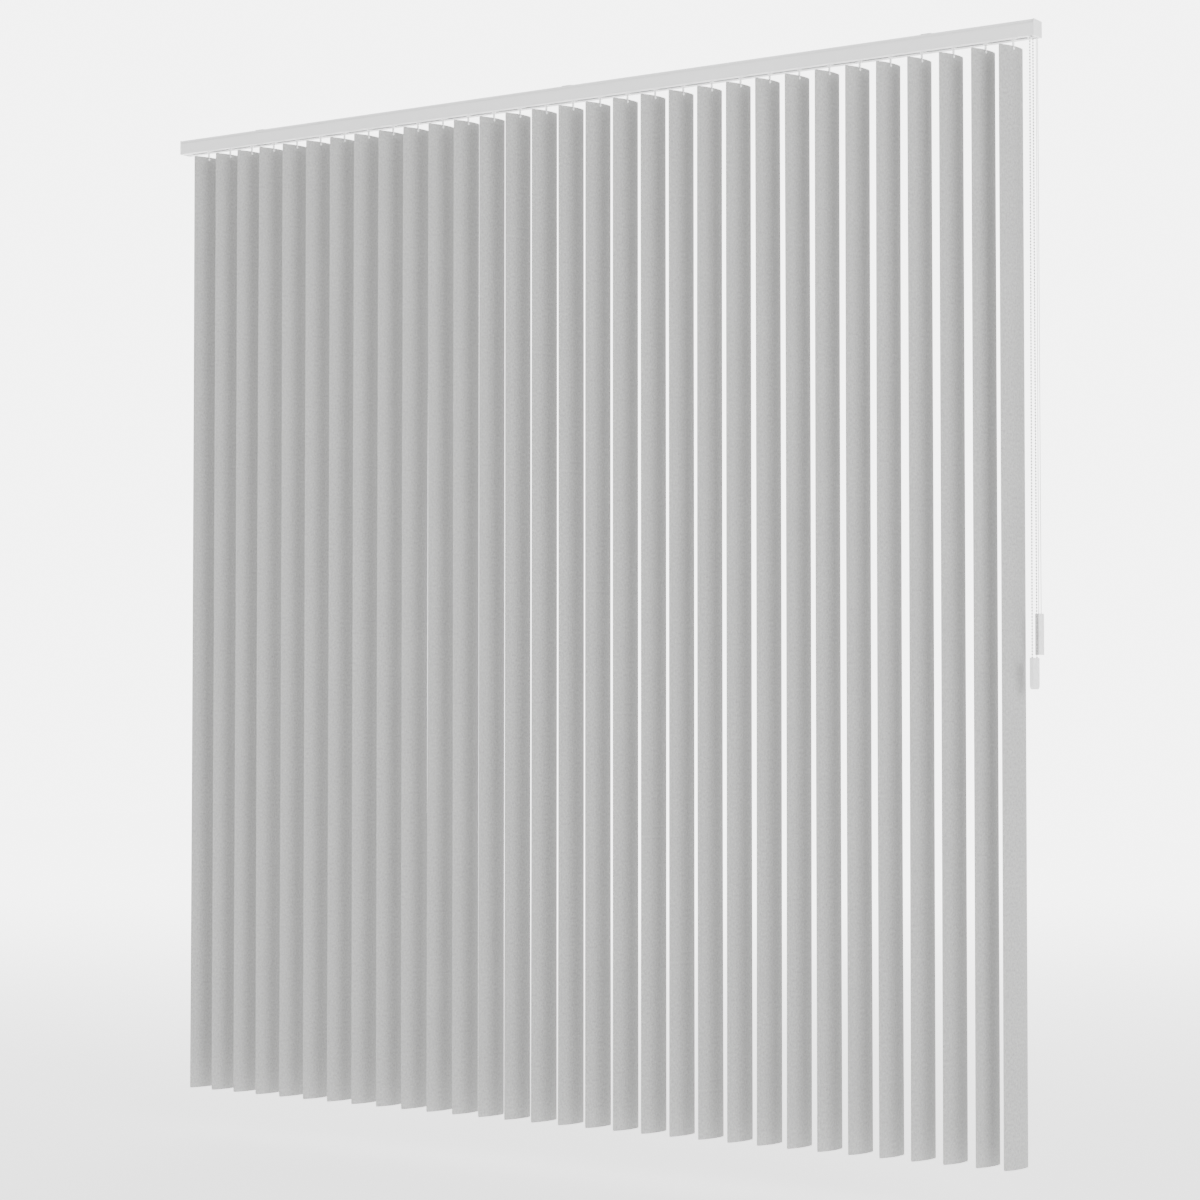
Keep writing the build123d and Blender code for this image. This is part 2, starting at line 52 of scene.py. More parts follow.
# ---------------------------------------------------------------------------
# Camera
# ---------------------------------------------------------------------------

CAMERA_PLACE = (4.1453, -6.0832, -1.5895)
CAMERA_TILT = 91.877
CAMERA_TURN = 33.640
CAMERA_LENS = 84.75

camera_data = bpy.data.cameras.new("camera")
camera_data.lens = CAMERA_LENS
camera_data.sensor_width = 36.0
camera_data.clip_end = 60.0
camera = bpy.data.objects.new("camera", camera_data)
camera.location = CAMERA_PLACE
camera.rotation_euler = (math.radians(CAMERA_TILT), 0.0, math.radians(CAMERA_TURN))
bpy.context.scene.collection.objects.link(camera)
bpy.context.scene.camera = camera


# ---------------------------------------------------------------------------
# Places and sizes taken from the frame
# ---------------------------------------------------------------------------


def middle(node):
    """Centre of a CAD node's box."""
    low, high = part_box(node)
    return (low + high) / 2


JOINTS = {joint["name"]: joint for joint in frame["joints"]}
VANES = sorted(name for name in frame["nodes"] if name.startswith("vane_"))
STEM_X = {vane: JOINTS[vane + "_tilt"]["pos_m"][0] for vane in VANES}
VANE_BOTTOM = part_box(VANES[0])[0].z
RAIL_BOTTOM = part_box("headrail")[0].z
CHAIN_X = middle("chain_wheel").x
CHAIN_AXIS_Y = middle("chain_wheel").y
CORD_RADIUS = 0.9 * MM
CORD_EXIT_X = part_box("traverse_cord")[1].x - CORD_RADIUS
CORD_WEIGHT_X = middle("cord_weight_pulley").x
WEIGHT_PULLEY = middle("cord_weight_pulley")
CHAIN_WEIGHT_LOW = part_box("chain_weight_left")[0]
CHAIN_WEIGHT_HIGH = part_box("chain_weight_right")[1]

VANE_REST_ANGLE = math.radians(75.7)
VANE_RADIUS = 125.0 * MM
VANE_CHORD = 88.0 * MM
VANE_THICKNESS = 0.8 * MM
VANE_CORNER = 3.0 * MM
STEM_DROP = 14.0 * MM
VANE_TOP = RAIL_BOTTOM - STEM_DROP
VANE_LENGTH = VANE_TOP - VANE_BOTTOM
NIB_DROP = 6.5 * MM
NIB_Z = VANE_TOP - NIB_DROP

BEAD_RADIUS = 2.25 * MM
BEAD_PITCH = 7.3 * MM
BEAD_RINGS = 6
BEAD_SIDES = 8
BEAD_POLE_SHARE = 0.94
STRING_RADIUS = 0.55 * MM
STRING_SIDES = 6
CHAIN_WHEEL_RADIUS = 8.5 * MM
CHAIN_TURN = 13.0 * MM
CHAIN_TURN_HEIGHT = 24.0 * MM
WRAP_POINTS = 24
CORD_FRONT_Y = 9.5 * MM
CORD_REAR_Y = 16.5 * MM
CORD_TURN = 7.0 * MM
LEAD_DIAMETERS = 6


# ---------------------------------------------------------------------------
# Meshes from arrays
# ---------------------------------------------------------------------------


def make_piece(name, points, faces, uv=None, sharp=40.0):
    """A mesh object in the scene from arrays of points and faces, smooth except at sharp edges."""
    mesh = bpy.data.meshes.new(name)
    mesh.from_pydata(np.asarray(points).tolist(), [], faces)
    mesh.polygons.foreach_set("use_smooth", np.ones(len(mesh.polygons), bool))
    mesh.set_sharp_from_angle(angle=math.radians(sharp))
    if uv is not None:
        corner = np.zeros(len(mesh.loops), np.int32)
        mesh.loops.foreach_get("vertex_index", corner)
        layer = mesh.uv_layers.new(name="surface")
        layer.data.foreach_set("uv", np.asarray(uv)[corner].ravel())
    mesh.update()
    piece = bpy.data.objects.new(name, mesh)
    bpy.context.scene.collection.objects.link(piece)
    return piece


def grid_faces(rows, columns, wrap):
    """Quads of a rows by columns grid of points, wrapped round in the column direction if asked."""
    last = columns if wrap else columns - 1
    i, j = np.meshgrid(np.arange(rows - 1), np.arange(last), indexing="ij")
    k = (j + 1) % columns
    near, far = i * columns, (i + 1) * columns
    quads = np.stack([near + j, near + k, far + k, far + j], -1)
    return quads.reshape(-1, 4).tolist()


def joined(parts):
    """Joins (points, faces) pairs into one pair."""
    points, faces, start = [], [], 0
    for part_points, part_faces in parts:
        points.append(part_points)
        faces += [[v + start for v in face] for face in part_faces]
        start += len(part_points)
    return np.concatenate(points), faces


def closed_rings(rings, low_end, high_end):
    """Rings of points, given as an array of rings by points by 3, joined into a tube whose two
    ends are closed with fans about the given points."""
    count, steps = rings.shape[:2]
    low = count * steps
    top = low - steps
    faces = grid_faces(count, steps, True)
    faces += [[low, (j + 1) % steps, j] for j in range(steps)]
    faces += [[low + 1, top + j, top + (j + 1) % steps] for j in range(steps)]
    return np.concatenate([rings.reshape(-1, 3), [low_end, high_end]]), faces


def turned_profile(profile, steps=24, ripple=0.0, teeth=0):
    """A profile of (radius, height) turned about Z, its ends closed at the axis.
    The radius may ripple round the turn as r + ripple * cos(teeth * angle)."""
    profile = np.asarray(profile, float)
    angle = np.linspace(0.0, 2 * np.pi, steps, endpoint=False)
    radius = profile[:, :1] + ripple * np.cos(teeth * angle)[None, :] * (profile[:, :1] > 3 * ripple)
    height = np.repeat(profile[:, 1:2], steps, 1)
    rings = np.stack([radius * np.cos(angle), radius * np.sin(angle), height], -1)
    return closed_rings(rings, (0, 0, profile[0, 1]), (0, 0, profile[-1, 1]))


def rounded_bar(stations, steps=16, power=4.0):
    """A bar up Z. At each station (z, half x, half y, centre y) its section is the superellipse
    |x/a|^n + |y/b|^n = 1, and the ends are closed with a fan."""
    stations = np.asarray(stations, float)
    angle = np.linspace(0.0, 2 * np.pi, steps, endpoint=False) + np.pi / steps
    c, s = np.cos(angle), np.sin(angle)
    x = stations[:, 1:2] * (np.sign(c) * np.abs(c) ** (2 / power))
    y = stations[:, 2:3] * (np.sign(s) * np.abs(s) ** (2 / power)) + stations[:, 3:4]
    z = np.repeat(stations[:, :1], steps, 1)
    low_end = (0, stations[0, 3], stations[0, 0])
    high_end = (0, stations[-1, 3], stations[-1, 0])
    return closed_rings(np.stack([x, y, z], -1), low_end, high_end)


def to_y(points):
    """Lays a shape that stands up Z along -Y."""
    return np.stack([points[:, 0], -points[:, 2], points[:, 1]], -1)


def moved(points, x=0.0, y=0.0, z=0.0):
    """Points shifted by x, y and z."""
    return points + np.array([x, y, z])


def turned(points, angle, x):
    """Turns points about Z and stands them at x along the rail."""
    c, s = math.cos(angle), math.sin(angle)
    return np.stack(
        [points[:, 0] * c - points[:, 1] * s + x, points[:, 0] * s + points[:, 1] * c, points[:, 2]], -1
    )


# ---------------------------------------------------------------------------
# Bead chain and traverse cord
# ---------------------------------------------------------------------------

CHAIN_EXIT = (CHAIN_X, CHAIN_AXIS_Y - CHAIN_WHEEL_RADIUS, RAIL_BOTTOM)
CHAIN_MID_Y = (CHAIN_WEIGHT_LOW.y + CHAIN_WEIGHT_HIGH.y) / 2
CHAIN_LOW_Z = CHAIN_WEIGHT_LOW.z + CHAIN_TURN_HEIGHT
CORD_EXIT = (CORD_EXIT_X, CORD_FRONT_Y, RAIL_BOTTOM)
CORD_LOW_Z = WEIGHT_PULLEY.z - CORD_TURN


def route_curve(name, points, depth):
    """A smooth NURBS curve through control points, with a round section of radius depth."""
    curve = bpy.data.curves.new(name, "CURVE")
    curve.dimensions = "3D"
    curve.resolution_u = 12
    spline = curve.splines.new("NURBS")
    spline.points.add(len(points) - 1)
    for place, point in zip(spline.points, points):
        place.co = (*point, 1.0)
    spline.order_u = 3
    spline.use_endpoint_u = True
    curve.bevel_depth = depth
    curve.bevel_resolution = 3
    curve.use_fill_caps = True
    piece = bpy.data.objects.new(name, curve)
    bpy.context.scene.collection.objects.link(piece)
    return piece


def curve_line(piece):
    """The points along a curve that has no section."""
    mesh = bpy.data.meshes.new_from_object(piece)
    line = np.zeros(len(mesh.vertices) * 3)
    mesh.vertices.foreach_get("co", line)
    return line.reshape(-1, 3)


def at_lengths(line, lengths):
    """Points and directions at given distances along a line. A direction is taken over a
    millimetre about its point."""
    run = np.concatenate([[0.0], np.cumsum(np.linalg.norm(np.diff(line, axis=0), axis=1))])

    def point(distance):
        return np.stack([np.interp(distance, run, line[:, k]) for k in range(3)], -1)

    way = point(lengths + 0.5 * MM) - point(lengths - 0.5 * MM)
    return point(lengths), way / np.linalg.norm(way, axis=1)[:, None]


def beads_on(line):
    """Beads at an even pitch along a line that lies in a plane of constant X, and the string
    between them: a small globe at each pitch, and a six-sided tube from globe to globe.
    A globe's rings are at (r cos(t), r sin(t)) for tilts t from pole to pole."""
    total = np.linalg.norm(np.diff(line, axis=0), axis=1).sum()
    count = int(total / BEAD_PITCH)
    start = (total - (count - 1) * BEAD_PITCH) / 2
    places, ways = at_lengths(line, start + BEAD_PITCH * np.arange(count))
    tilt = np.linspace(-BEAD_POLE_SHARE, BEAD_POLE_SHARE, BEAD_RINGS) * np.pi / 2
    turn = np.linspace(0, 2 * np.pi, BEAD_SIDES, endpoint=False)
    ring = np.cos(tilt)[:, None] * BEAD_RADIUS
    height = np.repeat(np.sin(tilt)[:, None], BEAD_SIDES, 1) * BEAD_RADIUS
    globe = np.stack([ring * np.cos(turn), ring * np.sin(turn), height], -1).reshape(-1, 3)
    globe_faces = grid_faces(BEAD_RINGS, BEAD_SIDES, True)
    globe_faces.append(list(range(BEAD_SIDES))[::-1])
    globe_faces.append(list(range(len(globe) - BEAD_SIDES, len(globe))))
    across = np.array([1.0, 0.0, 0.0])
    beyond = np.cross(ways, across)
    points = (
        globe[None, :, :1] * across
        + globe[None, :, 1:2] * beyond[:, None, :]
        + globe[None, :, 2:] * ways[:, None, :]
        + places[:, None, :]
    ).reshape(-1, 3)
    faces = [[v + len(globe) * k for v in face] for k in range(count) for face in globe_faces]
    angle = np.linspace(0, 2 * np.pi, STRING_SIDES, endpoint=False)
    along, directions = at_lengths(line, np.linspace(start, total - start, 2 * count - 1))
    side = np.cross(directions, across)
    tube = (
        along[:, None, :]
        + STRING_RADIUS * np.cos(angle)[None, :, None] * across
        + STRING_RADIUS * np.sin(angle)[None, :, None] * side[:, None, :]
    ).reshape(-1, 3)
    tube_faces = grid_faces(len(along), STRING_SIDES, True)
    tube_faces.append(list(range(STRING_SIDES))[::-1])
    tube_faces.append(list(range(len(tube) - STRING_SIDES, len(tube))))
    return joined([(points, faces), (tube, tube_faces)])


CHAIN_FRONT = CHAIN_MID_Y - CHAIN_TURN
CHAIN_REAR = CHAIN_MID_Y + CHAIN_TURN
CHAIN_LEAD = LEAD_DIAMETERS * 2 * BEAD_RADIUS
CHAIN_ROUTE = [
    CHAIN_EXIT,
    (CHAIN_X, CHAIN_FRONT, CHAIN_LOW_Z + CHAIN_LEAD),
    (CHAIN_X, CHAIN_FRONT, CHAIN_LOW_Z),
    (CHAIN_X, CHAIN_REAR, CHAIN_LOW_Z),
    (CHAIN_X, CHAIN_REAR, CHAIN_LOW_Z + CHAIN_LEAD),
    (CHAIN_X, CHAIN_AXIS_Y + CHAIN_WHEEL_RADIUS, RAIL_BOTTOM),
]
chain_guide = route_curve("chain_guide", CHAIN_ROUTE, 0.0)
chain_line = curve_line(chain_guide)
bpy.data.objects.remove(chain_guide)
chain_points, chain_faces = beads_on(chain_line)
bead_chain_run = make_piece("bead_chain_run", chain_points, chain_faces)


def wheel_wrap_line():
    """The chain's way over its wheel: up from the rail's underside, round half a circle
    y = -r cos(a), z = r sin(a) about the wheel's axle, and down again."""
    turn = np.linspace(0.0, np.pi, WRAP_POINTS)
    over_y = CHAIN_AXIS_Y - CHAIN_WHEEL_RADIUS * np.cos(turn)
    over_z = middle("chain_wheel").z + CHAIN_WHEEL_RADIUS * np.sin(turn)
    y = np.concatenate([over_y[:1], over_y, over_y[-1:]])
    z = np.concatenate([[RAIL_BOTTOM], over_z, [RAIL_BOTTOM]])
    return np.stack([np.full(len(y), CHAIN_X), y, z], -1)


wrap_points, wrap_faces = beads_on(wheel_wrap_line())
chain_over_wheel = make_piece("chain_over_wheel", wrap_points, wrap_faces)

CORD_LEAD = LEAD_DIAMETERS * 2 * CORD_RADIUS
CORD_LOOP_FRONT = WEIGHT_PULLEY.y - CORD_TURN
CORD_LOOP_REAR = WEIGHT_PULLEY.y + CORD_TURN
CORD_ROUTE = [
    CORD_EXIT,
    (CORD_WEIGHT_X, CORD_LOOP_FRONT, CORD_LOW_Z + CORD_LEAD),
    (CORD_WEIGHT_X, CORD_LOOP_FRONT, CORD_LOW_Z),
    (CORD_WEIGHT_X, CORD_LOOP_REAR, CORD_LOW_Z),
    (CORD_WEIGHT_X, CORD_LOOP_REAR, CORD_LOW_Z + CORD_LEAD),
    (CORD_EXIT_X, CORD_REAR_Y, RAIL_BOTTOM),
]
traverse_loop = route_curve("traverse_loop", CORD_ROUTE, CORD_RADIUS)


# ---------------------------------------------------------------------------
# Shader groups
# ---------------------------------------------------------------------------


WANDER_SCALE = 160.0
WANDER_AMOUNT = 5.0
RIB_HEIGHT = 0.35
SLUB_STRETCH = (1.0, 0.7, 1.0)
SLUB_SCALE = 210.0
SLUB_ROUGHNESS = 0.75


def new_group(name, inputs, outputs):
    """An empty node group: inputs are (name, type, default) and outputs (name, type)."""
    group = bpy.data.node_groups.new(name, "ShaderNodeTree")
    for label, kind, default in inputs:
        socket = group.interface.new_socket(name=label, in_out="INPUT", socket_type=kind)
        if default is not None:
            socket.default_value = default
    for label, kind in outputs:
        group.interface.new_socket(name=label, in_out="OUTPUT", socket_type=kind)
    return group, group.nodes.new("NodeGroupInput"), group.nodes.new("NodeGroupOutput")


def put(tree, kind, **values):
    """A new node with its properties set."""
    node = tree.nodes.new(kind)
    for key, value in values.items():
        setattr(node, key, value)
    return node


def feed(tree, node, **inputs):
    """Gives a node's inputs, named in lower case with underscores, a number or a link."""
    for label, value in inputs.items():
        socket = node.inputs[label.replace("_", " ").title()]
        if isinstance(value, bpy.types.NodeSocket):
            tree.links.new(value, socket)
        else:
            socket.default_value = value


def noise_node(tree, vector, scale, detail, roughness=0.5):
    """A noise texture at a place."""
    noise = put(tree, "ShaderNodeTexNoise")
    feed(tree, noise, vector=vector, scale=scale, detail=detail, roughness=roughness)
    return noise.outputs[0]


def stretched(tree, vector, scale):
    """A place with each axis scaled by its own number."""
    stretch = put(tree, "ShaderNodeMapping")
    feed(tree, stretch, vector=vector, scale=scale)
    return stretch.outputs[0]


def span_node(tree, value, low, high, start=0.0, end=1.0):
    """A value's share of the way from start to end, turned into low to high."""
    span = put(tree, "ShaderNodeMapRange")
    feed(tree, span, value=value, from_min=start, from_max=end, to_min=low, to_max=high)
    return span.outputs[0]


def math_node(tree, operation, *values):
    """One sum on numbers or links."""
    node = put(tree, "ShaderNodeMath", operation=operation)
    for socket, value in zip(node.inputs, values):
        if isinstance(value, (int, float)):
            socket.default_value = value
        else:
            tree.links.new(value, socket)
    return node.outputs[0]


def tinted_noise_group():
    """Tinted noise: a base colour made a little lighter and darker by noise at one scale."""
    group, start, end = new_group(
        "tinted_noise",
        [
            ("Vector", "NodeSocketVector", None),
            ("Color", "NodeSocketColor", (0.8, 0.8, 0.8, 1.0)),
            ("Scale", "NodeSocketFloat", 20.0),
            ("Amount", "NodeSocketFloat", 0.04),
        ],
        [("Color", "NodeSocketColor"), ("Mask", "NodeSocketFloat")],
    )
    noise = noise_node(group, start.outputs["Vector"], start.outputs["Scale"], 4.0, 0.55)
    centred = math_node(group, "SUBTRACT", noise, 0.5)
    swing = math_node(group, "MULTIPLY", centred, start.outputs["Amount"])
    gain = math_node(group, "MULTIPLY_ADD", swing, 2.0, 1.0)
    scale = put(group, "ShaderNodeVectorMath", operation="SCALE")
    group.links.new(start.outputs["Color"], scale.inputs[0])
    group.links.new(gain, scale.inputs["Scale"])
    group.links.new(scale.outputs[0], end.inputs["Color"])
    group.links.new(noise, end.inputs["Mask"])
    return group


def ribs(tree, place, count, shift):
    """Ribs across a coordinate: sin(count * place + shift)."""
    phase = math_node(tree, "MULTIPLY", place, count)
    return math_node(tree, "SINE", math_node(tree, "ADD", phase, shift))


def embossed_weave_group():
    """Embossed weave on the piece's UV map in metres: ribs across and along, made to wander by
    noise, so that the height is 0.35 * rib(u) * rib(v) plus a little grain."""
    group, start, end = new_group(
        "embossed_weave",
        [
            ("Across", "NodeSocketFloat", 900.0),
            ("Along", "NodeSocketFloat", 620.0),
            ("Grain", "NodeSocketFloat", 0.5),
        ],
        [("Height", "NodeSocketFloat"), ("Slub", "NodeSocketFloat")],
    )
    place = put(group, "ShaderNodeUVMap", uv_map="surface").outputs[0]
    split = put(group, "ShaderNodeSeparateXYZ")
    group.links.new(place, split.inputs[0])
    shift = math_node(group, "MULTIPLY", noise_node(group, place, WANDER_SCALE, 2.0), WANDER_AMOUNT)
    warp = ribs(group, split.outputs[0], start.outputs["Across"], shift)
    weft = ribs(group, split.outputs[1], start.outputs["Along"], shift)
    cross = math_node(group, "MULTIPLY", warp, weft)
    slub = noise_node(group, stretched(group, place, SLUB_STRETCH), SLUB_SCALE, 4.0, SLUB_ROUGHNESS)
    grain = math_node(group, "MULTIPLY", slub, start.outputs["Grain"])
    height = math_node(group, "MULTIPLY_ADD", cross, RIB_HEIGHT, grain)
    group.links.new(height, end.inputs["Height"])
    group.links.new(slub, end.inputs["Slub"])
    return group


def braid_group():
    """Braided cord: two crossing sets of slanting ridges round and along the object."""
    group, start, end = new_group(
        "braid", [("Pitch", "NodeSocketFloat", 3000.0)], [("Height", "NodeSocketFloat")]
    )
    place = put(group, "ShaderNodeTexCoord")
    split = put(group, "ShaderNodeSeparateXYZ")
    group.links.new(place.outputs["Object"], split.inputs[0])
    across = math_node(group, "ADD", split.outputs[0], split.outputs[1])
    ridges = [
        math_node(group, "SINE", math_node(group, "MULTIPLY", slant, start.outputs["Pitch"]))
        for slant in (
            math_node(group, "ADD", across, split.outputs[2]),
            math_node(group, "SUBTRACT", across, split.outputs[2]),
        )
    ]
    group.links.new(math_node(group, "MAXIMUM", *ridges), end.inputs["Height"])
    return group


TINTED_NOISE = tinted_noise_group()
EMBOSSED_WEAVE = embossed_weave_group()
BRAID = braid_group()


# ---------------------------------------------------------------------------
# Materials
# ---------------------------------------------------------------------------


def begin_material(name, roughness, metallic=0.0, specular=0.5):
    """A material, its tree and its Principled shader."""
    material = bpy.data.materials.new(name)
    material.use_nodes = True
    tree = material.node_tree
    shader = tree.nodes["Principled BSDF"]
    shader.inputs["Roughness"].default_value = roughness
    shader.inputs["Metallic"].default_value = metallic
    shader.inputs["Specular IOR Level"].default_value = specular
    return material, tree, shader


def object_place(tree):
    """The Object coordinates."""
    return put(tree, "ShaderNodeTexCoord").outputs["Object"]


def add_tint(tree, shader, colour, scale, amount):
    """Base colour with a soft noise in Object coordinates. Returns the colour and the mask."""
    tint = put(tree, "ShaderNodeGroup", node_tree=TINTED_NOISE)
    feed(tree, tint, vector=object_place(tree), color=(*colour, 1.0), scale=scale, amount=amount)
    tree.links.new(tint.outputs["Color"], shader.inputs["Base Color"])
    return tint.outputs["Color"], tint.outputs["Mask"]


def add_bump(tree, shader, height, strength, distance):
    """Bump from a height, in the shader's normal."""
    bump = put(tree, "ShaderNodeBump")
    feed(tree, bump, height=height, strength=strength, distance=distance)
    tree.links.new(bump.outputs[0], shader.inputs["Normal"])


def add_roughness(tree, shader, mask, low, high):
    """Roughness from low to high as the mask goes from 0 to 1."""
    tree.links.new(span_node(tree, mask, low, high), shader.inputs["Roughness"])


def add_lines(tree, shader, scale, roughness, strength, distance):
    """Fine lines along X: noise stretched that way, in the roughness and the bump."""
    lines = noise_node(tree, stretched(tree, object_place(tree), scale), 1.0, 3.0)
    add_roughness(tree, shader, lines, *roughness)
    add_bump(tree, shader, lines, strength, distance)


def vane_material():
    """Light grey vinyl, embossed with a fine weave and flecked by its grain."""
    material, tree, shader = begin_material("vane_vinyl", 0.55, specular=0.35)
    weave = put(tree, "ShaderNodeGroup", node_tree=EMBOSSED_WEAVE)
    colour, _ = add_tint(tree, shader, VANE_COLOUR, scale=7.0, amount=0.05)
    slub = weave.outputs["Slub"]
    fleck = span_node(tree, slub, FLECK_DARK, FLECK_LIGHT, start=0.25, end=0.75)
    shade = put(tree, "ShaderNodeVectorMath", operation="SCALE")
    tree.links.new(colour, shade.inputs[0])
    tree.links.new(fleck, shade.inputs["Scale"])
    tree.links.new(shade.outputs[0], shader.inputs["Base Color"])
    add_roughness(tree, shader, slub, low=0.45, high=0.65)
    add_bump(tree, shader, weave.outputs["Height"], strength=0.35, distance=0.25 * MM)
    return material


def plastic_material(name, colour, roughness):
    """Moulded white plastic with a faint flow grain."""
    material, tree, shader = begin_material(name, roughness)
    _, mask = add_tint(tree, shader, colour, scale=60.0, amount=0.03)
    add_roughness(tree, shader, mask, low=roughness - 0.07, high=roughness + 0.07)
    add_bump(tree, shader, mask, strength=0.08, distance=0.1 * MM)
    return material


def painted_rail_material():
    """Satin white coat on an extruded section, with faint lines along the rail."""
    material, tree, shader = begin_material("rail_coat", 0.38)
    add_tint(tree, shader, RAIL_COLOUR, scale=3.0, amount=0.02)
    add_lines(tree, shader, (2.0, 900.0, 900.0), (0.3, 0.48), strength=0.06, distance=0.05 * MM)
    return material


def metal_material(name, colour, roughness):
    """Plain metal with fine drawing marks along X."""
    material, tree, shader = begin_material(name, roughness, metallic=1.0)
    add_tint(tree, shader, colour, scale=40.0, amount=0.05)
    span = (roughness - 0.08, roughness + 0.12)
    add_lines(tree, shader, (20.0, 2500.0, 2500.0), span, strength=0.1, distance=0.03 * MM)
    return material


def cord_material():
    """White braided polyester."""
    material, tree, shader = begin_material("cord_braid", 0.75, specular=0.3)
    add_tint(tree, shader, CORD_COLOUR, scale=500.0, amount=0.06)
    braid = put(tree, "ShaderNodeGroup", node_tree=BRAID)
    add_bump(tree, shader, braid.outputs["Height"], strength=0.5, distance=0.1 * MM)
    return material


VANE_COLOUR = (0.365, 0.365, 0.361)
RAIL_COLOUR = (0.87, 0.87, 0.87)
CAP_COLOUR = (0.90, 0.90, 0.90)
CARRIER_COLOUR = (0.90, 0.90, 0.895)
# Painted shade: the bead chain is white plastic, and this grey colour stands in for the shade that
# shows each bead.
BEAD_PAINTED_SHADE_COLOUR = (0.50, 0.50, 0.495)
CORD_COLOUR = (0.80, 0.80, 0.79)
WEIGHT_COLOUR = (0.88, 0.88, 0.88)
STEEL_COLOUR = (0.62, 0.62, 0.63)
ROD_COLOUR = (0.72, 0.73, 0.75)
FLECK_DARK = 0.62
FLECK_LIGHT = 1.38

vane_vinyl = vane_material()
rail_coat = painted_rail_material()
cap_plastic = plastic_material("cap_plastic", CAP_COLOUR, 0.35)
carrier_plastic = plastic_material("carrier_plastic", CARRIER_COLOUR, 0.42)
# Painted shade: the beads get the grey bead colour, standing in for their shading, though the plastic
# itself is white.
bead_plastic_painted_shade = plastic_material("bead_plastic_painted_shade", BEAD_PAINTED_SHADE_COLOUR, 0.3)
weight_plastic = plastic_material("weight_plastic", WEIGHT_COLOUR, 0.28)
cord_braid = cord_material()
bright_steel = metal_material("bright_steel", STEEL_COLOUR, 0.32)
pin_steel = metal_material("pin_steel_finish", STEEL_COLOUR, 0.4)
drawn_rod = metal_material("drawn_rod", ROD_COLOUR, 0.3)


def dress(piece, material):
    """Gives a piece one material in its first slot."""
    if len(piece.data.materials):
        piece.data.materials[0] = material
    else:
        piece.data.materials.append(material)


CAD_FINISH = (
    (rail_coat, "headrail"),
    (cap_plastic, "control_end_cap idle_end_cap"),
    (drawn_rod, "tilt_rod"),
    (carrier_plastic, "worm_sleeves chain_wheel carrier_trucks truck_wheels"),
    (carrier_plastic, "control_pulley_front control_pulley_rear idle_pulley cord_weight_pulley"),
    (bright_steel, "spacer_links ceiling_clip_1 ceiling_clip_2 ceiling_clip_3"),
    (bright_steel, "clip_lever_1 clip_lever_2 clip_lever_3"),
    (pin_steel, "pulley_axles clip_pins"),
    (cord_braid, "traverse_cord"),
    (weight_plastic, "chain_weight_left chain_weight_right cord_weight_left cord_weight_right"),
)
for finish, node_names in CAD_FINISH:
    for node_name in node_names.split():
        dress(frame["nodes"][node_name], finish)


# ---------------------------------------------------------------------------
# Vanes: slat and hanger
# ---------------------------------------------------------------------------

HOLE_HALF = 3.0 * MM
HOLE_STEPS = 4
HOLE_STEP = 2 * HOLE_HALF / HOLE_STEPS
HOLE_FIRST_ROW = 2
HOLE_RADIUS = 1.8 * MM
CORNER_BAND = 3.5 * MM
CORNER_SHARES = (0.0, 0.06, 0.22, 0.5, 1.0)
FIELD_COLUMNS = (36.0, 30.0, 24.0, 18.0, 12.0, 7.0)
FIELD_ROWS = 22


def slat_grid():
    """Columns across the slat (distance x from its middle along the chord) and rows down it
    (distance from the top edge), closest at the rounded corners and round the peg hole."""
    half = VANE_CHORD / 2
    corner = [half - VANE_CORNER * share for share in CORNER_SHARES]
    field = [x * MM for x in FIELD_COLUMNS]
    hole = [HOLE_HALF, HOLE_STEP]
    right = corner + field + hole
    columns = np.array([-x for x in right] + [0.0] + right[::-1])
    hole_top = NIB_DROP - HOLE_HALF
    hole_rows = [hole_top + HOLE_STEP * k for k in range(HOLE_STEPS + 1)]
    near = [0.0, hole_top / 2] + hole_rows + [16.0 * MM, 40.0 * MM]
    far = list(np.linspace(110.0 * MM, VANE_LENGTH - 40.0 * MM, FIELD_ROWS))
    last = [VANE_LENGTH - 8.0 * MM, VANE_LENGTH - CORNER_BAND, VANE_LENGTH]
    return columns, np.array(near + far + last)


def border_of(index):
    """The numbers round the edge of a grid of numbers, in order."""
    return np.concatenate([index[0, :-1], index[:-1, -1], index[-1, :0:-1], index[:0:-1, 0]])


def band_faces(first, second):
    """Quads between two loops of point numbers, as first, second, next second, next first."""
    return np.stack([first, second, np.roll(second, -1), np.roll(first, -1)], -1)


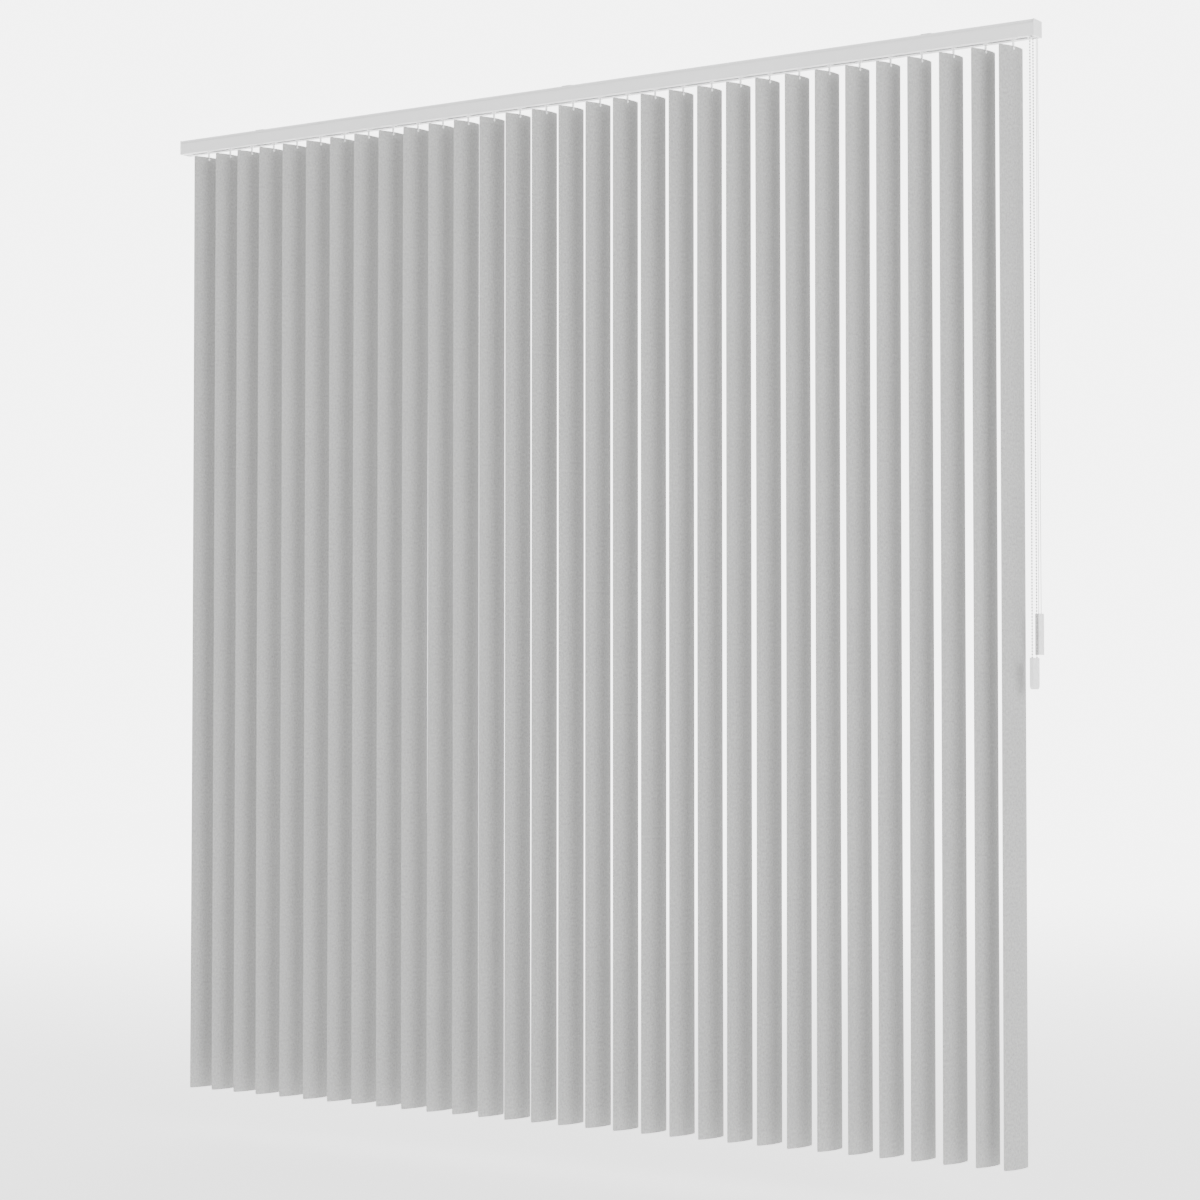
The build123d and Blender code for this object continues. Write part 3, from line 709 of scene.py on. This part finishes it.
def flat_slat():
    """The slat laid flat: x across it and the drop down it for each point of one side, and the
    faces of the whole closed slat. Both ends have rounded corners, d = r - sqrt(r^2 - e^2) at e
    past the corner's start. The peg hole is a circle joined to a square gap in the grid."""
    columns, rows = slat_grid()
    edge = np.clip(np.abs(columns) - (VANE_CHORD / 2 - VANE_CORNER), 0.0, VANE_CORNER)
    cut = VANE_CORNER - np.sqrt(np.maximum(VANE_CORNER**2 - edge**2, 0.0))
    top_share = np.clip(1 - rows / CORNER_BAND, 0, 1)[:, None]
    low_share = np.clip(1 - (VANE_LENGTH - rows) / CORNER_BAND, 0, 1)[:, None]
    drop = (rows[:, None] + cut[None, :] * top_share - cut[None, :] * low_share).ravel()
    x = np.repeat(columns[None, :], len(rows), 0).ravel()

    count = len(columns)
    left = count // 2 - HOLE_STEPS // 2
    across = slice(left, left + HOLE_STEPS)
    down = slice(HOLE_FIRST_ROW, HOLE_FIRST_ROW + HOLE_STEPS)
    index = np.arange(len(x)).reshape(len(rows), count)
    square = index[down.start : down.stop + 1, across.start : across.stop + 1]
    rim = border_of(square)
    away = np.stack([x[rim], drop[rim] - NIB_DROP], -1)
    away *= HOLE_RADIUS / np.linalg.norm(away, axis=1)[:, None]
    ring = np.arange(len(rim)) + len(x)
    x = np.concatenate([x, away[:, 0]])
    drop = np.concatenate([drop, away[:, 1] + NIB_DROP])

    quads = np.array(grid_faces(len(rows), count, False))[:, [0, 3, 2, 1]]
    quads = quads.reshape(len(rows) - 1, count - 1, 4)
    kept = np.ones(quads.shape[:2], bool)
    kept[down, across] = False
    front = np.concatenate([quads[kept], band_faces(rim, ring)])
    border = border_of(index)
    walls = band_faces(border, border + len(x))[:, [0, 3, 2, 1]]
    hole_wall = band_faces(ring, ring + len(x))
    faces = np.concatenate([front, front[:, ::-1] + len(x), walls, hole_wall])
    return x, drop, faces.tolist()


def bent_slat(x, drop, twist):
    """The slat about its stem: x runs across, y out of the surface and z up.
    The middle surface is the arc x = R sin(a), y = R (1 - cos(a)), whose chord is level with X,
    and the two sides lie half a thickness either side of it. Going down, the slat turns by
    twist * t, where t goes from 0 to 1."""
    angle = np.arcsin(x / VANE_RADIUS)
    turn = twist * (drop / VANE_LENGTH)
    points = []
    for side in (1.0, -1.0):
        radius = VANE_RADIUS + side * VANE_THICKNESS / 2
        px = radius * np.sin(angle)
        py = VANE_RADIUS - radius * np.cos(angle)
        qx = px * np.cos(turn) - py * np.sin(turn)
        qy = px * np.sin(turn) + py * np.cos(turn)
        points.append(np.stack([qx, qy, VANE_TOP - drop], -1))
    uv = np.stack([angle * VANE_RADIUS, -drop], -1)
    return np.concatenate(points), np.concatenate([uv, uv])


WHEEL_LOW = -28.7
WHEEL_HIGH = -22.9
WHEEL_TEETH = 18
TOOTH_HEIGHT = 0.25 * MM
FORK_LIFT = 2.0 * MM
FORK_HEIGHT = 4.5 * MM
PRONG_REACH = 10.0 * MM
PRONG_OFFSET = 1.37 * MM
PRONG_TIP_OFFSET = 1.1 * MM
DOT_LIFT = 4.3 * MM
FORK_LOW = VANE_TOP + FORK_LIFT
FORK_HIGH = FORK_LOW + FORK_HEIGHT


def in_mm(table):
    """A table of millimetres as an array in metres."""
    return np.array(table) * MM


def at_nib(shape, lift=0.0):
    """A shape turned about Z, laid along -Y at the nib or above it."""
    points, faces = shape
    return moved(to_y(points), z=NIB_Z + lift), faces


def prong(side):
    """One prong of the fork, thicker from its tip up, on one side of the slat."""
    centre = side * PRONG_OFFSET
    tip = VANE_TOP - PRONG_REACH
    width, depth = 1.25 * MM, 0.8 * MM
    return rounded_bar([
        (tip, 0.6 * MM, 0.35 * MM, side * PRONG_TIP_OFFSET),
        (tip + 0.7 * MM, 1.15 * MM, 0.7 * MM, centre),
        (tip + 2.0 * MM, width, depth, centre),
        (FORK_LOW + 0.5 * MM, width, depth, centre),
    ], 16)


def fork_block():
    """The block that joins the prongs to the stem, eased at both ends."""
    return rounded_bar([
        (FORK_LOW - 0.3 * MM, 2.3 * MM, 2.0 * MM, 0.0),
        (FORK_LOW, 2.6 * MM, 2.2 * MM, 0.0),
        (FORK_HIGH - 1.6 * MM, 2.6 * MM, 2.2 * MM, 0.0),
        (FORK_HIGH, 2.3 * MM, 2.2 * MM, 0.0),
        (FORK_HIGH + 0.6 * MM, 1.9 * MM, 1.9 * MM, 0.0),
    ], 24)


def hanger_shape():
    """The white stem and its fork: a turned spindle with its toothed wheel, a block, two
    prongs either side of the slat, the peg through it, and the round nib and dot in front."""
    spindle = [
        (2.5, FORK_HIGH / MM - 0.2), (2.5, -29.1), (2.2, WHEEL_LOW), (1.65, WHEEL_LOW),
        (1.65, -22.7), (2.2, -22.7), (2.2, -22.2), (1.7, -21.7),
    ]
    gear = [
        (4.6, WHEEL_LOW), (5.15, WHEEL_LOW + 0.5), (5.15, WHEEL_HIGH - 0.5), (4.6, WHEEL_HIGH),
    ]
    peg = [(1.6, -2.0), (1.6, 2.0)]
    nib = [(2.6, 0.6), (3.0, 1.0), (3.0, 2.1), (2.75, 2.5), (2.1, 2.68), (1.0, 2.7)]
    dot = [(1.1, 1.9), (1.1, 2.4), (0.8, 2.65), (0.3, 2.7)]
    return joined([
        turned_profile(in_mm(spindle), 20),
        turned_profile(in_mm(gear), 72, TOOTH_HEIGHT, WHEEL_TEETH),
        fork_block(),
        prong(-1.0),
        prong(1.0),
        at_nib(turned_profile(in_mm(peg), 16)),
        at_nib(turned_profile(in_mm(nib), 24)),
        at_nib(turned_profile(in_mm(dot), 14), DOT_LIFT),
    ])


BOW_MOST = 1.5
TWIST_MOST = 0.8
GRAIN_SHIFT = 3.7

generator = np.random.default_rng(31)
slat_x, slat_drop, slat_faces = flat_slat()
hanger_points, hanger_faces = hanger_shape()
for vane in VANES:
    bow = float(generator.uniform(-BOW_MOST, BOW_MOST)) * MM
    twist = math.radians(float(generator.uniform(-TWIST_MOST, 0.0)))
    slat_points, slat_uv = bent_slat(slat_x, slat_drop, twist)
    slat_uv = slat_uv + np.array([0.0, STEM_X[vane] * GRAIN_SHIFT])
    placed = turned(slat_points, VANE_REST_ANGLE, STEM_X[vane])
    placed[:, 0] += bow * np.sin(np.pi * (VANE_TOP - placed[:, 2]) / VANE_LENGTH)
    slat = make_piece(vane.replace("vane", "slat"), placed, slat_faces, slat_uv)
    dress(slat, vane_vinyl)
    placed = turned(hanger_points, VANE_REST_ANGLE, STEM_X[vane])
    hanger = make_piece(vane.replace("vane", "hanger"), placed, hanger_faces)
    dress(hanger, carrier_plastic)
    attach(slat, vane + "_set")
    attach(hanger, vane + "_set")
    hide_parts(vane)


# ---------------------------------------------------------------------------
# Chain and cord: materials, headrail body and hidden CAD nodes
# ---------------------------------------------------------------------------

dress(bead_chain_run, bead_plastic_painted_shade)
dress(chain_over_wheel, bead_plastic_painted_shade)
dress(traverse_loop, cord_braid)
for piece, node_name, slot_name in (
    (bead_chain_run, "bead_chain", "bead_white"),
    (chain_over_wheel, "chain_wrap", "bead_white"),
    (traverse_loop, "cord_loop", "cord_white"),
):
    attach(piece, HEADRAIL)
    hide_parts(node_name)


# ---------------------------------------------------------------------------
# Floor and light
# ---------------------------------------------------------------------------


FLOOR_DROP = 0.12
FLOOR_Z = VANE_BOTTOM - FLOOR_DROP
FLOOR_HALF = 16.0
FLOOR_SPAN = (-1.0, 11.0)
FLOOR_GLOWS = (1.6, 4.9)
BACK_AXIS = (-math.sin(math.radians(CAMERA_TURN)), math.cos(math.radians(CAMERA_TURN)), 0.0)
ROOM_SPAN = (0.5, 0.88)
ROOM_GLOWS = (0.55, 6.0)
LAMP_TARGET = (0.0, 0.0, -1.3)


def glow_along(tree, coordinate, spans, glows):
    """A strength that rises from the first glow to the second as the coordinate's share along
    the backdrop's axis goes over the span."""
    place = put(tree, "ShaderNodeTexCoord")
    share = put(tree, "ShaderNodeVectorMath", operation="DOT_PRODUCT")
    share.inputs[1].default_value = BACK_AXIS
    rise = put(tree, "ShaderNodeMapRange", interpolation_type="SMOOTHSTEP")
    for label, value in zip(("From Min", "From Max", "To Min", "To Max"), spans + glows):
        rise.inputs[label].default_value = value
    tree.links.new(place.outputs[coordinate], share.inputs[0])
    tree.links.new(share.outputs["Value"], rise.inputs["Value"])
    return rise.outputs[0]


corners = np.array([(-1, -1, 0), (1, -1, 0), (1, 1, 0), (-1, 1, 0)]) * FLOOR_HALF
# Painted light: the floor glows, weakly in front and more strongly towards the back, standing in for a
# lit white sweep; its own colour is a pale grey.
floor = make_piece("glowing_floor", moved(corners, z=FLOOR_Z), [[0, 1, 2, 3]])
floor_paper_glow, floor_tree, floor_shader = begin_material("floor_paper_glow", 0.9, specular=0.0)
floor_shader.inputs["Base Color"].default_value = (0.9, 0.9, 0.9, 1.0)
floor_shader.inputs["Emission Color"].default_value = (1.0, 1.0, 1.0, 1.0)
floor_glow = glow_along(floor_tree, "Object", FLOOR_SPAN, FLOOR_GLOWS)
floor_tree.links.new(floor_glow, floor_shader.inputs["Emission Strength"])
dress(floor, floor_paper_glow)


def soft_lamp(name, place, size, power):
    """A large soft lamp that faces the middle of the blind."""
    data = bpy.data.lights.new(name, "AREA")
    data.shape = "RECTANGLE"
    data.size, data.size_y = size
    data.energy = power
    lamp = bpy.data.objects.new(name, data)
    lamp.location = place
    way = np.array(LAMP_TARGET) - np.array(place)
    turn = math.atan2(way[0], -way[1])
    flat = math.hypot(way[0], way[1])
    lamp.rotation_euler = (math.atan2(flat, -way[2]), 0.0, turn + math.pi)
    bpy.context.scene.collection.objects.link(lamp)


soft_lamp("key_light", place=(10.0, -5.0, 0.8), size=(5.0, 5.0), power=1150.0)
soft_lamp("fill_light", place=(-5.0, -5.0, 0.5), size=(4.0, 5.0), power=80.0)

world = bpy.data.worlds.new("studio")
bpy.context.scene.world = world
world.use_nodes = True
backdrop = world.node_tree.nodes["Background"]
backdrop.inputs["Color"].default_value = (1.0, 1.0, 1.0, 1.0)
back_glow = glow_along(world.node_tree, "Generated", ROOM_SPAN, ROOM_GLOWS)
world.node_tree.links.new(back_glow, backdrop.inputs["Strength"])
